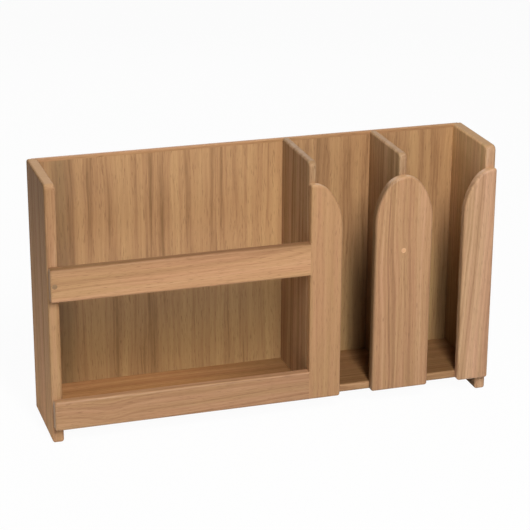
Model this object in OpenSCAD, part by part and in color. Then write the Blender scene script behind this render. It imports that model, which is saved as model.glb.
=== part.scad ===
// Magazine rack in solid teak with a veneered plywood back, to stand on a
// surface or hang against a wall. A wide bay holds magazines behind two
// rails, and two narrow bays hold slim things behind three arched slats.
// X runs along the rack, the front faces -Y and Z is up. The origin is the
// middle of the footprint, on the surface that the feet stand on.

/* [Case] */
// Width over the two side boards
rack_w = 540; // [460:5:640]
// Height from the feet to the top edges
rack_h = 312; // [296:1:360]
// Depth of the side boards, from front edge to back edge
case_d = 105.5; // [85:0.5:140]
// Height of the feet below the shelf and the front boards
foot_h = 18.5; // [10:0.5:30]

/* [Boards] */
// Thickness of the two side boards
side_t = 13; // [12:0.5:18]
// Thickness of the two dividers
divider_t = 9; // [8:0.5:12]
// Thickness of the bottom shelf
shelf_t = 10; // [9:0.5:14]
// Thickness of the rails and slats on the front
front_t = 9.5; // [8.5:0.5:12]
// Thickness of the plywood back
back_t = 5.5; // [4:0.5:7]
// Height of the solid strip that covers the top edge of the plywood
lipping_h = 4; // [3:0.5:8]

/* [Front] */
// How far the front boards stop short of the outer face at each end
front_inset = 1.5; // [0.5:0.5:3]
// Height of the lower rail
lower_rail_h = 36; // [30:1:45]
// Height of the upper rail
upper_rail_h = 40; // [30:1:50]
// Height of the upper rail's underside above the surface
upper_rail_z = 176; // [140:1:200]
// Height of the slats' tips above the surface
slat_top_z = 286.5; // [272:0.5:292]
// Width of the centre slat
centre_slat_w = 72; // [60:1:80]
// Width of the two side slats
half_slat_w = 39.5; // [36:0.5:46]
// Open gap between neighbouring slats
slot_w = 40; // [32:0.5:46]
// Height of the arch at the top of each slat
arch_rise = 55; // [50:1:62]

/* [Edges] */
// Round-over on the edges and corners of the boards
edge_r = 3; // [1:0.5:3.5]
// Larger corner radius at the top front of the sides and dividers
shoulder_r = 7; // [5:0.5:12]
// Round-over on the strip along the top of the back
lipping_r = 1.5; // [0.5:0.25:1.5]

/* [Joints] */
// Depth of the housings that the shelf and the dividers stand in
housing_d = 3; // [2:0.5:4]
// Width by which the back laps each side board
rebate_w = 7; // [5:0.5:8]
// Clearance all round a piece in its housing or hole
fit = 0.05; // [0.02:0.01:0.1]
// Diameter of the wooden dowels
dowel_d = 5; // [4:0.5:5]
// Length of the wooden dowels
dowel_len = 15; // [12:1:16]
// Diameter of the wooden plugs over the screw heads
plug_d = 6; // [6:0.5:7]
// Depth of the wooden plugs
plug_len = 3; // [2:0.5:3.5]

/* [Screws] */
// Shank diameter of the long wood screws
screw_d = 3; // [2.6:0.1:3.4]
// Head diameter of the long wood screws
screw_head_d = 5.6; // [5:0.1:5.8]
// Height of the countersunk head of the long wood screws
screw_head_h = 1.8; // [1.4:0.1:2.2]
// Length of the screws through the front boards
front_screw_len = 22; // [18:1:26]
// Length of the screws up through the shelf into the dividers
shelf_screw_len = 28; // [22:1:32]
// Shank diameter of the short screws in the back
back_screw_d = 2.5; // [2:0.1:3]
// Head diameter of the short screws in the back
back_screw_head_d = 4.8; // [4.2:0.1:5]
// Height of the countersunk head of the short screws
back_screw_head_h = 1.5; // [1.2:0.1:1.8]
// Length of the short screws in the back
back_screw_len = 16; // [12:1:18]

/* [Hidden] */

teak = "#be9169";
teak_pale = "#c89e76";
teak_dark = "#a87a52";
veneer = "#b78c62";
brass = "#c9a24a";

// Sides given to every circle, enough for a true one
round_fn = 96;
// How far a cutter runs past the face that it cuts
over = 1;
// How far one arc of an arch laps the next
lap = 0.25;

front_y = -(case_d + front_t) / 2;
case_y = front_y + front_t;
rear_y = case_y + case_d;
back_y = rear_y - back_t;
left_x = -rack_w / 2;
right_x = rack_w / 2;
left_in = left_x + side_t;
right_in = right_x - side_t;
shelf_top = foot_h + shelf_t;
shelf_mid = foot_h + shelf_t / 2;
inner_depth = back_y - case_y;
back_top = rack_h - lipping_h;

// The front is set out from its right end: slat, gap, slat, gap, slat
front_left = left_x + front_inset;
front_right = right_x - front_inset;
right_slat_x = front_right - half_slat_w;
centre_slat_x = right_slat_x - slot_w - centre_slat_w;
left_slat_x = centre_slat_x - slot_w - half_slat_w;
rail_len = left_slat_x - front_left;
slat_h = slat_top_z - foot_h;
upper_rail_mid = upper_rail_z + upper_rail_h / 2;
lower_rail_top = foot_h + lower_rail_h;

// The left divider stands flush with its slat, the right one behind the
// middle of the centre slat
left_divider_x = left_slat_x;
right_divider_x = centre_slat_x + (centre_slat_w - divider_t) / 2;
divider_xs = [left_divider_x, right_divider_x];
divider_foot = shelf_top - housing_d;
divider_h = rack_h - divider_foot;

// Middles of the boards that the front is fixed to
left_side_mid = left_x + side_t / 2;
right_side_mid = right_x - side_t / 2;
divider_mids = [for (x = divider_xs) x + divider_t / 2];

// ---- round-overs and outlines ------------------------------------------

// Waste that a round-over takes off a square corner at 0, 0, for a board
// that lies towards +X and +Y
module corner_waste(radius) {
    difference() {
        translate([-over, -over])
            square(radius + over);
        translate([radius, radius])
            circle(radius, $fn = round_fn);
    }
}

// Cutter that follows the edge of a board's top face, with the board on its
// left. A number in the path is a straight run of that length. A turn is a
// quarter turn to the left, from corner() or arch().
module edge_cutter(path, radius, step = 0) {
    if (step < len(path)) {
        run = path[step];
        if (is_num(run)) {
            rotate([90, 0, 90])
                linear_extrude(run)
                    mirror([0, 1])
                        corner_waste(radius);
            translate([run, 0, 0])
                edge_cutter(path, radius, step + 1);
        } else {
            translate([0, run[0], 0])
                rotate(-90)
                    for (part = run[2])
                        arc_cutter(part, radius);
            translate([run[1], run[0], 0])
                rotate(90)
                    edge_cutter(path, radius, step + 1);
        }
    }
}

// One arc of that cutter, cut out of a full ring. An arc as tight as its
// round-over leaves a ball.
module arc_cutter(part, radius) {
    arc_r = part[0];
    intersection() {
        translate(part[1])
            if (arc_r > radius)
                rotate_extrude($fn = round_fn)
                    translate([arc_r, 0])
                        rotate(180)
                            corner_waste(radius);
            else
                translate([0, 0, -radius])
                    difference() {
                        cylinder(r = arc_r + over, h = radius + over, $fn = round_fn);
                        sphere(radius, $fn = round_fn);
                    }
        translate([0, 0, -radius - over])
            linear_extrude(radius + 3 * over)
                polygon(part[3]);
    }
}

// A turn is its width, its rise and a list of its arcs, seen from the middle
// of its spring line and from its right end up to its tip. Each arc is its
// radius, its middle, the polygon that bounds it in an outline, and the one
// that bounds it in a cutter.
function corner(radius) =
    let (reach = 1.5 * (radius + over),
         bounds = [[0, 0], [reach, 0], [0, reach]])
    [radius, radius, [[radius, [0, 0], bounds, bounds]]];

// Each arch is three-centred and set out on a 3-4-5 triangle: the long arc
// of its flank turns through the triangle's angle, then the tip takes over.
// Both radii follow from the half width and the rise. The tighter arc laps
// the other in the outline, and the wider one in the cutter, so that no
// sliver is left between them.
function arch(half_w) =
    let (flank_r = 2 * arch_rise - half_w,
         tip_r = (3 * half_w - arch_rise) / 2,
         flank_middle = [half_w - flank_r, 0],
         tip_middle = [0, arch_rise - tip_r],
         reach = 2 * flank_r,
         below = [flank_middle[0] + reach, 0],
         shared = flank_middle + reach * [4, 3] / 5,
         above = [0, shared[1] + reach],
         onward = lap * [-3, 4] / 5)
    [half_w, arch_rise,
     [[flank_r, flank_middle,
       [[0, 0], below, shared, tip_middle],
       [[0, 0], below, shared + onward, tip_middle + onward]],
      [tip_r, tip_middle,
       [tip_middle, tip_middle - onward, shared - onward, above],
       [tip_middle, shared, above]]]];

// Right half of an arch, from 0, 0 at the middle of its spring line
module half_arch(half_w) {
    for (part = arch(half_w)[2])
        intersection() {
            translate(part[1])
                circle(part[0], $fn = round_fn);
            polygon(part[2]);
        }
}

// Rectangle from 0, 0 with a radius for each corner, in the order bottom
// left, bottom right, top right, top left. A radius of 0 leaves it square.
module board_outline(width, height, radii) {
    corners = [[0, 0], [width, 0], [width, height], [0, height]];
    difference() {
        square([width, height]);
        for (i = [0:3])
            if (radii[i] > 0)
                translate(corners[i])
                    rotate(90 * i)
                        corner_waste(radii[i]);
    }
}

// ---- fasteners and their holes -----------------------------------------

// Dowel along +Z, with dowel_in of its length below 0
module dowel(dowel_in, gap = 0) {
    translate([0, 0, -dowel_in - gap])
        cylinder(d = dowel_d + 2 * gap, h = dowel_len + 2 * gap, $fn = round_fn);
}

// Countersunk screw along +Z, with the face of its head at 0
module screw(shank_d, head_d, head_h, length, gap = 0) {
    rotate_extrude($fn = round_fn)
        polygon([[0, 0],
                 [head_d / 2 + gap, 0],
                 [shank_d / 2 + gap, head_h],
                 [shank_d / 2 + gap, length - shank_d + gap],
                 [0, length + gap]]);
}

// Screw under a plug along +Z, with the plug's face at 0
module plugged_screw(length, gap = 0) {
    translate([0, 0, plug_len + gap])
        screw(screw_d, screw_head_d, screw_head_h, length - gap, gap);
}

// Plug along +Z from its face at 0
module plug() {
    cylinder(d = plug_d, h = plug_len, $fn = round_fn);
}

// Hole for a plug and the screw under it, open through the face at 0
module plugged_hole(length) {
    translate([0, 0, -over])
        cylinder(d = plug_d + 2 * fit, h = plug_len + fit + over, $fn = round_fn);
    plugged_screw(length, fit);
}

// ---- where the fasteners go --------------------------------------------

// Share of each dowel that stands in the first of its two boards
dowel_share = 0.4;
dowel_in = dowel_len * dowel_share;

// Where fasteners stand along a board, as shares of its length
thirds = [0.2, 0.5, 0.8];
halves = [0.25, 0.75];
slat_heights = [0.34, 0.84];
side_screw_heights = [0.15, 0.5, 0.85];
divider_screw_heights = [0.25, 0.55, 0.85];
shelf_screw_widths = [0.1, 0.35, 0.6, 0.9];
// Share of a side slat's width, from its free edge, of its dowel to the shelf
slat_foot_share = 0.4;

function between(low, high, share) = low + (high - low) * share;

// Screws through the front boards, level with the middle of the upper rail
front_screw_places = [[left_side_mid, upper_rail_mid],
                      [divider_mids[1], upper_rail_mid]];

// Heights at which the slats are dowelled to the boards behind them
slat_dowel_zs = [for (share = slat_heights) foot_h + slat_h * share];
low_dowel_z = foot_h + lower_rail_h / 2;

// Dowels that enter the case from the front, as [x, z]
rail_dowel_places =
    [[left_side_mid, low_dowel_z],
     for (share = thirds) [between(left_in, left_slat_x, share), shelf_mid]];
left_slat_dowel_places =
    [for (z = slat_dowel_zs) [divider_mids[0], z],
     [left_slat_x + half_slat_w * (1 - slat_foot_share), shelf_mid]];
centre_slat_dowel_places =
    [for (z = slat_dowel_zs) [divider_mids[1], z],
     for (share = halves) [centre_slat_x + centre_slat_w * share, shelf_mid]];
right_slat_dowel_places =
    [for (z = slat_dowel_zs) [right_side_mid, z],
     [right_side_mid, low_dowel_z],
     [right_slat_x + half_slat_w * slat_foot_share, shelf_mid]];
front_dowel_places = concat(rail_dowel_places, left_slat_dowel_places,
                            centre_slat_dowel_places, right_slat_dowel_places);

// Heights of the dowels that join the ends of the rails to the left slat
rail_end_dowel_zs =
    [for (share = halves) each [foot_h + lower_rail_h * share,
                                upper_rail_z + upper_rail_h * share]];

// Depths of the dowels between the shelf and the sides, and of the screws
// up into the dividers
shelf_dowel_ys = [for (share = thirds) case_y + inner_depth * share];
divider_screw_ys = [for (share = halves) case_y + inner_depth * share];

// Screws through the back into the sides, the dividers and the shelf, as [x, z]
back_lap_xs = [left_in - rebate_w / 2, right_in + rebate_w / 2];
back_screw_places =
    [for (x = back_lap_xs, share = side_screw_heights) [x, between(foot_h, back_top, share)],
     for (x = divider_mids, share = divider_screw_heights) [x, between(foot_h, back_top, share)],
     for (share = shelf_screw_widths) [between(left_in, right_in, share), shelf_mid]];

// ---- holes, each in the place of its fastener ----------------------------

module at_front_dowels(places) {
    for (place = places)
        translate([place[0], case_y, place[1]])
            rotate([-90, 0, 0])
                children();
}

module at_rail_end_dowels() {
    for (z = rail_end_dowel_zs)
        translate([left_slat_x, case_y - front_t / 2, z])
            rotate([0, -90, 0])
                children();
}

module at_left_shelf_dowels() {
    for (y = shelf_dowel_ys)
        translate([left_in - housing_d, y, shelf_mid])
            rotate([0, 90, 0])
                children();
}

module at_shelf_dowels() {
    at_left_shelf_dowels()
        children();
    mirror([1, 0, 0])
        at_left_shelf_dowels()
            children();
}

module at_front_screws() {
    for (place = front_screw_places)
        translate([place[0], front_y, place[1]])
            rotate([-90, 0, 0])
                children();
}

module at_divider_screws() {
    for (x = divider_mids, y = divider_screw_ys)
        translate([x, y, foot_h])
            children();
}

module at_back_screws() {
    for (place = back_screw_places)
        translate([place[0], rear_y, place[1]])
            rotate([90, 0, 0])
                children();
}

module back_screw(gap = 0) {
    screw(back_screw_d, back_screw_head_d, back_screw_head_h, back_screw_len, gap);
}

module back_screw_hole() {
    back_screw(fit);
    translate([0, 0, -over])
        cylinder(d = back_screw_head_d + 2 * fit, h = over, $fn = round_fn);
}

// ---- case ----------------------------------------------------------------

// Left side board before its holes: a full-height board whose lower end is
// the foot, housed for the shelf and rebated for the back
module side_board() {
    outer_path = [case_d - 2 * edge_r, corner(edge_r),
                  rack_h - 2 * edge_r, corner(edge_r),
                  case_d - edge_r - shoulder_r, corner(shoulder_r),
                  rack_h - shoulder_r - edge_r, corner(edge_r)];
    inner_path = [case_d - back_t + over - shoulder_r, corner(shoulder_r),
                  rack_h - shoulder_r - edge_r, corner(edge_r),
                  case_d - 2 * edge_r, corner(edge_r),
                  foot_h - edge_r];
    difference() {
        translate([left_x, case_y, 0])
            rotate([90, 0, 90])
                difference() {
                    linear_extrude(side_t)
                        board_outline(case_d, rack_h, [edge_r, edge_r, edge_r, shoulder_r]);
                    mirror([0, 0, 1])
                        translate([edge_r, 0, 0])
                            edge_cutter(outer_path, edge_r);
                    translate([case_d - back_t + over, rack_h, side_t])
                        rotate(180)
                            edge_cutter(inner_path, edge_r);
                }
        translate([left_in - rebate_w, back_y, foot_h])
            cube([rebate_w + over, back_t + over, rack_h]);
        translate([left_in - housing_d, case_y - over, foot_h - fit])
            cube([housing_d + over, case_d, shelf_t + 2 * fit]);
        at_left_shelf_dowels()
            dowel(dowel_in, fit);
        at_back_screws()
            back_screw(fit);
    }
}

module left_side() {
    color(teak_dark)
        difference() {
            side_board();
            at_front_dowels(rail_dowel_places)
                dowel(dowel_in, fit);
            at_front_screws()
                plugged_screw(front_screw_len, fit);
        }
}

module right_side() {
    color(teak_dark)
        difference() {
            mirror([1, 0, 0])
                side_board();
            at_front_dowels(right_slat_dowel_places)
                dowel(dowel_in, fit);
        }
}

module bottom_shelf() {
    shelf_x = left_in - housing_d + fit;
    front_run = right_in - left_in;
    color(teak_dark)
        difference() {
            translate([shelf_x, case_y, foot_h])
                cube([-2 * shelf_x, inner_depth, shelf_t]);
            translate([left_in, case_y, shelf_top])
                edge_cutter([front_run], edge_r);
            translate([left_in, case_y, foot_h])
                mirror([0, 0, 1])
                    edge_cutter([front_run], edge_r);
            for (x = divider_xs)
                translate([x - fit, case_y - over, divider_foot])
                    cube([divider_t + 2 * fit, case_d, shelf_t]);
            at_shelf_dowels()
                dowel(dowel_in, fit);
            at_front_dowels(front_dowel_places)
                dowel(dowel_in, fit);
            at_divider_screws()
                plugged_hole(shelf_screw_len);
            at_back_screws()
                back_screw(fit);
        }
}

// Divider before its holes, standing in its housing in the shelf
module divider_board(x) {
    path = [inner_depth + over - shoulder_r, corner(shoulder_r),
            divider_h - shoulder_r - housing_d];
    translate([x, case_y, divider_foot])
        rotate([90, 0, 90])
            difference() {
                linear_extrude(divider_t)
                    board_outline(inner_depth, divider_h, [0, 0, 0, shoulder_r]);
                for (face = [0, 1])
                    translate([inner_depth + over, divider_h, face * divider_t])
                        mirror([0, 0, 1 - face])
                            rotate(180)
                                edge_cutter(path, edge_r);
            }
}

module left_divider() {
    color(teak)
        difference() {
            divider_board(left_divider_x);
            at_front_dowels(left_slat_dowel_places)
                dowel(dowel_in, fit);
            at_divider_screws()
                plugged_screw(shelf_screw_len, fit);
            at_back_screws()
                back_screw(fit);
        }
}

module right_divider() {
    color(teak)
        difference() {
            divider_board(right_divider_x);
            at_front_dowels(centre_slat_dowel_places)
                dowel(dowel_in, fit);
            at_front_screws()
                plugged_screw(front_screw_len, fit);
            at_divider_screws()
                plugged_screw(shelf_screw_len, fit);
            at_back_screws()
                back_screw(fit);
        }
}

// Left end of the back and of its lipping, in the rebates of the sides
back_x = left_in - rebate_w + fit;

module back_panel() {
    color(veneer)
        difference() {
            translate([back_x, back_y, foot_h])
                cube([-2 * back_x, back_t, back_top - foot_h]);
            at_back_screws()
                back_screw_hole();
        }
}

module back_lipping() {
    color(teak_dark)
        translate([back_x, back_y, back_top])
            rotate([90, 0, 90])
                linear_extrude(-2 * back_x)
                    board_outline(back_t, lipping_h, [0, 0, lipping_r, lipping_r]);
}

// ---- front ---------------------------------------------------------------

// Puts a board that is drawn flat, from its bottom left corner at the back,
// on the front of the case
module on_front(x, z) {
    translate([x, case_y, z])
        rotate([90, 0, 0])
            children();
}

// Rail with its left end rounded and its right end square against the slat
module rail_board(z, height) {
    path = [rail_len + over - edge_r, corner(edge_r),
            height - 2 * edge_r, corner(edge_r),
            rail_len + over - edge_r];
    on_front(front_left, z)
        difference() {
            linear_extrude(front_t)
                board_outline(rail_len, height, [edge_r, 0, 0, edge_r]);
            translate([rail_len + over, height, front_t])
                rotate(180)
                    edge_cutter(path, edge_r);
        }
}

module lower_rail() {
    color(teak)
        difference() {
            rail_board(foot_h, lower_rail_h);
            at_front_dowels(rail_dowel_places)
                dowel(dowel_in, fit);
            at_rail_end_dowels()
                dowel(dowel_in, fit);
        }
}

module upper_rail() {
    color(teak_pale)
        difference() {
            rail_board(upper_rail_z, upper_rail_h);
            at_front_screws()
                plugged_hole(front_screw_len);
            at_rail_end_dowels()
                dowel(dowel_in, fit);
        }
}

// Side slat with its straight edge at the left, from 0, 0
module half_slat_outline(foot_radius) {
    spring = slat_h - arch_rise;
    difference() {
        union() {
            square([half_slat_w, spring]);
            translate([0, spring])
                square([edge_r, arch_rise]);
            translate([edge_r, spring])
                half_arch(half_slat_w - edge_r);
        }
        translate([half_slat_w, 0])
            rotate(90)
                corner_waste(edge_r);
        translate([0, slat_h])
            rotate(-90)
                corner_waste(edge_r);
        if (foot_radius > 0)
            corner_waste(foot_radius);
    }
}

// Path round a side slat from its foot to its upper left corner
function half_slat_path(foot_run) =
    [foot_run, corner(edge_r),
     slat_h - arch_rise - edge_r,
     arch(half_slat_w - edge_r),
     corner(edge_r)];

// Left slat: its straight edge is rounded only where no rail meets it
module left_slat() {
    upper_run = slat_top_z - edge_r - (upper_rail_z + upper_rail_h);
    window_run = upper_rail_z - lower_rail_top;
    color(teak)
        difference() {
            on_front(left_slat_x, foot_h)
                difference() {
                    linear_extrude(front_t)
                        half_slat_outline(0);
                    translate([-over, 0, front_t])
                        edge_cutter([each half_slat_path(half_slat_w - edge_r + over),
                                     upper_run], edge_r);
                    translate([0, upper_rail_z - foot_h, front_t])
                        rotate(-90)
                            edge_cutter([window_run], edge_r);
                }
            at_front_dowels(left_slat_dowel_places)
                dowel(dowel_in, fit);
            at_rail_end_dowels()
                dowel(dowel_in, fit);
        }
}

// Centre slat, drawn about its middle
module centre_slat() {
    half_w = centre_slat_w / 2;
    foot_half = half_w - edge_r;
    spring = slat_h - arch_rise;
    side_path = [corner(edge_r), spring - edge_r, arch(half_w)];
    color(teak)
        difference() {
            on_front(centre_slat_x + half_w, foot_h)
                difference() {
                    linear_extrude(front_t) {
                        translate([-half_w, 0])
                            board_outline(centre_slat_w, spring, [edge_r, edge_r, 0, 0]);
                        for (side = [0, 1])
                            translate([0, spring])
                                mirror([side, 0])
                                    half_arch(half_w);
                    }
                    translate([-foot_half, 0, front_t])
                        edge_cutter([2 * foot_half, each side_path], edge_r);
                    mirror([1, 0, 0])
                        translate([foot_half, 0, front_t])
                            edge_cutter(side_path, edge_r);
                }
            at_front_dowels(centre_slat_dowel_places)
                dowel(dowel_in, fit);
            at_front_screws()
                plugged_hole(front_screw_len);
        }
}

// Right slat: the left one turned over, and rounded all the way round
module right_slat() {
    outer_run = slat_h - 2 * edge_r;
    color(teak_pale)
        difference() {
            translate([right_slat_x + left_slat_x + half_slat_w, 0, 0])
                mirror([1, 0, 0])
                    on_front(left_slat_x, foot_h)
                        difference() {
                            linear_extrude(front_t)
                                half_slat_outline(edge_r);
                            translate([edge_r, 0, front_t])
                                edge_cutter([each half_slat_path(half_slat_w - 2 * edge_r),
                                             outer_run, corner(edge_r)], edge_r);
                        }
            at_front_dowels(right_slat_dowel_places)
                dowel(dowel_in, fit);
        }
}

// ---- fasteners -------------------------------------------------------------

module front_screws() {
    color(brass)
        at_front_screws()
            plugged_screw(front_screw_len);
}

module front_plugs() {
    color(teak_pale)
        at_front_screws()
            plug();
}

module front_dowels() {
    color(teak_pale)
        at_front_dowels(front_dowel_places)
            dowel(dowel_in);
}

module rail_dowels() {
    color(teak_pale)
        at_rail_end_dowels()
            dowel(dowel_in);
}

module shelf_dowels() {
    color(teak_pale)
        at_shelf_dowels()
            dowel(dowel_in);
}

module divider_screws() {
    color(brass)
        at_divider_screws()
            plugged_screw(shelf_screw_len);
}

module divider_plugs() {
    color(teak)
        at_divider_screws()
            plug();
}

module back_screws() {
    color(brass)
        at_back_screws()
            back_screw();
}

left_side();
right_side();
bottom_shelf();
left_divider();
right_divider();
back_panel();
back_lipping();
lower_rail();
upper_rail();
left_slat();
centre_slat();
right_slat();
front_screws();
front_plugs();
front_dowels();
rail_dowels();
shelf_dowels();
divider_screws();
divider_plugs();
back_screws();
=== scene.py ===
"""Dresses a teak magazine rack: oiled solid teak, teak-veneered plywood and
brass screws, on a plain white studio floor."""

import math

import bmesh
import bpy
from mathutils import Matrix, Vector


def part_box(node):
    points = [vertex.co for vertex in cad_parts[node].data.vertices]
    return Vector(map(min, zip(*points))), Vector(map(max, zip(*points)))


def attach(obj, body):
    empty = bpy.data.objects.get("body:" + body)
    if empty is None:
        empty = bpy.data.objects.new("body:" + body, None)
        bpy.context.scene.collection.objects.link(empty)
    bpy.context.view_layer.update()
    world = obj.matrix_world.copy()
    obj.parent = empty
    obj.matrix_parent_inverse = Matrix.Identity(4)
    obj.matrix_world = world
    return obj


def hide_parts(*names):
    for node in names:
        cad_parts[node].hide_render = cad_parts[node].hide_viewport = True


bl_info = {
    "name": "Teak Magazine Rack",
    "version": (1, 0, 0),
    "blender": (4, 5, 0),
    "location": "View3D > Sidebar > Rack",
    "description": "Finishes a magazine rack in oiled teak and sets its studio",
    "category": "Object",
}

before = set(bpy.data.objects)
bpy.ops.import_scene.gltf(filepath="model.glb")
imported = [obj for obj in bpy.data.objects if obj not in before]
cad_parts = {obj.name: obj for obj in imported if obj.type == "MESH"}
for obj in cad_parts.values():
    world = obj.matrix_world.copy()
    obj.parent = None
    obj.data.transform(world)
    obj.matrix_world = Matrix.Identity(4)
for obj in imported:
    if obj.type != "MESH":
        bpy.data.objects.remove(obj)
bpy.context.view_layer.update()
MM = 0.001


def linear(hex_colour):
    """Turns an sRGB hex colour into Blender's linear red, green and blue."""
    channels = [int(hex_colour[i : i + 2], 16) / 255 for i in (1, 3, 5)]
    return tuple(c / 12.92 if c <= 0.04045 else ((c + 0.055) / 1.055) ** 2.4 for c in channels)


def add_node(tree, kind, inputs=None, **settings):
    """Adds a node with its settings, and its sockets' values or links."""
    made = tree.nodes.new(kind)
    for name, value in settings.items():
        setattr(made, name, value)
    for key, value in (inputs or {}).items():
        if isinstance(value, bpy.types.NodeSocket):
            tree.links.new(value, made.inputs[key])
        else:
            made.inputs[key].default_value = value
    return made


# ---- sizes and colours ------------------------------------------------------


class RackTeak(bpy.types.PropertyGroup):
    """Colours and grain of the solid teak"""

    pale: bpy.props.FloatVectorProperty(
        name="Pale wood",
        description="Early wood between the rings",
        subtype="COLOR",
        default=linear("#c39a72"),
    )
    honey: bpy.props.FloatVectorProperty(
        name="Honey wood",
        description="Main tone of the oiled teak",
        subtype="COLOR",
        default=linear("#b28860"),
    )
    streak: bpy.props.FloatVectorProperty(
        name="Streak",
        description="Dark mineral streaks and late wood",
        subtype="COLOR",
        default=linear("#926a48"),
    )
    pore: bpy.props.FloatVectorProperty(
        name="Pore",
        description="Open pores that hold oil and dust",
        subtype="COLOR",
        default=linear("#6f4c30"),
    )
    hue_shift: bpy.props.FloatProperty(
        name="Hue shift",
        description="How far patches lean to rose or to olive",
        default=0.02,
        min=0,
        max=0.2,
    )
    end_grain: bpy.props.FloatVectorProperty(
        name="End grain",
        description="Tone of the sanded ends",
        subtype="COLOR",
        default=linear("#d8ab7e"),
    )
    band_width: bpy.props.FloatProperty(
        name="Band width",
        description="Width of the broad bands of tone",
        subtype="DISTANCE",
        default=13 * MM,
    )
    ring_width: bpy.props.FloatProperty(
        name="Ring width",
        description="Spacing of the growth rings",
        subtype="DISTANCE",
        default=2.8 * MM,
    )
    wander: bpy.props.FloatProperty(
        name="Wander",
        description="How far the grain strays from straight",
        subtype="DISTANCE",
        default=9 * MM,
    )
    roughness: bpy.props.FloatProperty(
        name="Roughness",
        description="Common roughness of the oiled boards",
        subtype="FACTOR",
        default=0.56,
    )


class RackVeneer(bpy.types.PropertyGroup):
    """Veneered plywood of the back"""

    pale: bpy.props.FloatVectorProperty(
        name="Pale veneer",
        description="Light parts of the veneer",
        subtype="COLOR",
        default=linear("#bd9567"),
    )
    streak: bpy.props.FloatVectorProperty(
        name="Dark veneer",
        description="Dark streaks of the veneer",
        subtype="COLOR",
        default=linear("#86623f"),
    )
    honey: bpy.props.FloatVectorProperty(
        name="Honey veneer",
        description="Main tone of the veneer",
        subtype="COLOR",
        default=linear("#ac825a"),
    )
    stripe_width: bpy.props.FloatProperty(
        name="Stripe width",
        description="Width of the veneer's streaks",
        subtype="DISTANCE",
        default=12 * MM,
    )
    wander: bpy.props.FloatProperty(
        name="Wander",
        description="How far the streaks stray from upright",
        subtype="DISTANCE",
        default=5 * MM,
    )
    # Partly a dark streak of the veneer and partly painted shadow of the left side
    edge_streak_and_shadow: bpy.props.FloatProperty(
        name="Edge streak and shadow",
        description="Tone of the dark streak near the left side",
        subtype="FACTOR",
        default=0.62,
    )
    # Painted shade: tint of the lower part of the back, in place of the shade under the upper rail
    lower_painted_shade: bpy.props.FloatVectorProperty(
        name="Lower painted shade",
        description="Tint of the lower half over the upper",
        subtype="COLOR",
        default=(0.82, 0.87, 0.83),
    )
    seed: bpy.props.IntProperty(
        name="Seed",
        description="Moves the pattern of the veneer",
        default=14,
    )
    plies: bpy.props.IntProperty(
        name="Plies",
        description="Layers seen on the edge of the plywood",
        default=5,
    )


class RackScrews(bpy.types.PropertyGroup):
    """Countersunk brass screws of the back"""

    recess_width: bpy.props.FloatProperty(
        name="Recess width",
        description="Width of the cross in the head",
        subtype="DISTANCE",
        default=0.7 * MM,
    )
    recess_reach: bpy.props.FloatProperty(
        name="Recess reach",
        description="Length of the cross in the head",
        subtype="DISTANCE",
        default=2.8 * MM,
    )
    recess_depth: bpy.props.FloatProperty(
        name="Recess depth",
        description="Depth of the cross in the head",
        subtype="DISTANCE",
        default=0.9 * MM,
    )
    brass: bpy.props.FloatVectorProperty(
        name="Brass",
        description="Colour of the brass",
        subtype="COLOR",
        default=linear("#c9a660"),
    )


class RackStage(bpy.types.PropertyGroup):
    """Floor, lamps and world"""

    key_watts: bpy.props.FloatProperty(
        name="Key lamp",
        description="Power of the tall soft lamp in front",
        subtype="POWER",
        default=15.5,
    )
    side_watts: bpy.props.FloatProperty(
        name="Side lamp",
        description="Power of the weak lamp at the rack's left",
        subtype="POWER",
        default=1.6,
    )
    rear_watts: bpy.props.FloatProperty(
        name="Rear lamp",
        description="Power of the soft lamp behind the rack",
        subtype="POWER",
        default=5.0,
    )
    fill: bpy.props.FloatProperty(
        name="Fill",
        description="Strength of the light from all round",
        subtype="FACTOR",
        default=0.1,
    )
    whiteness: bpy.props.FloatProperty(
        name="Whiteness",
        description="Share of plain white in the floor that the camera sees",
        subtype="FACTOR",
        default=0.96,
    )
    floor_tone: bpy.props.FloatVectorProperty(
        name="Floor",
        description="Colour of the floor",
        subtype="COLOR",
        default=linear("#ececec"),
    )


# ---- materials --------------------------------------------------------------

FRONT, TOP, LEFT, RIGHT = (0, -1, 0), (0, 0, 1), (-1, 0, 0), (1, 0, 0)
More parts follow.
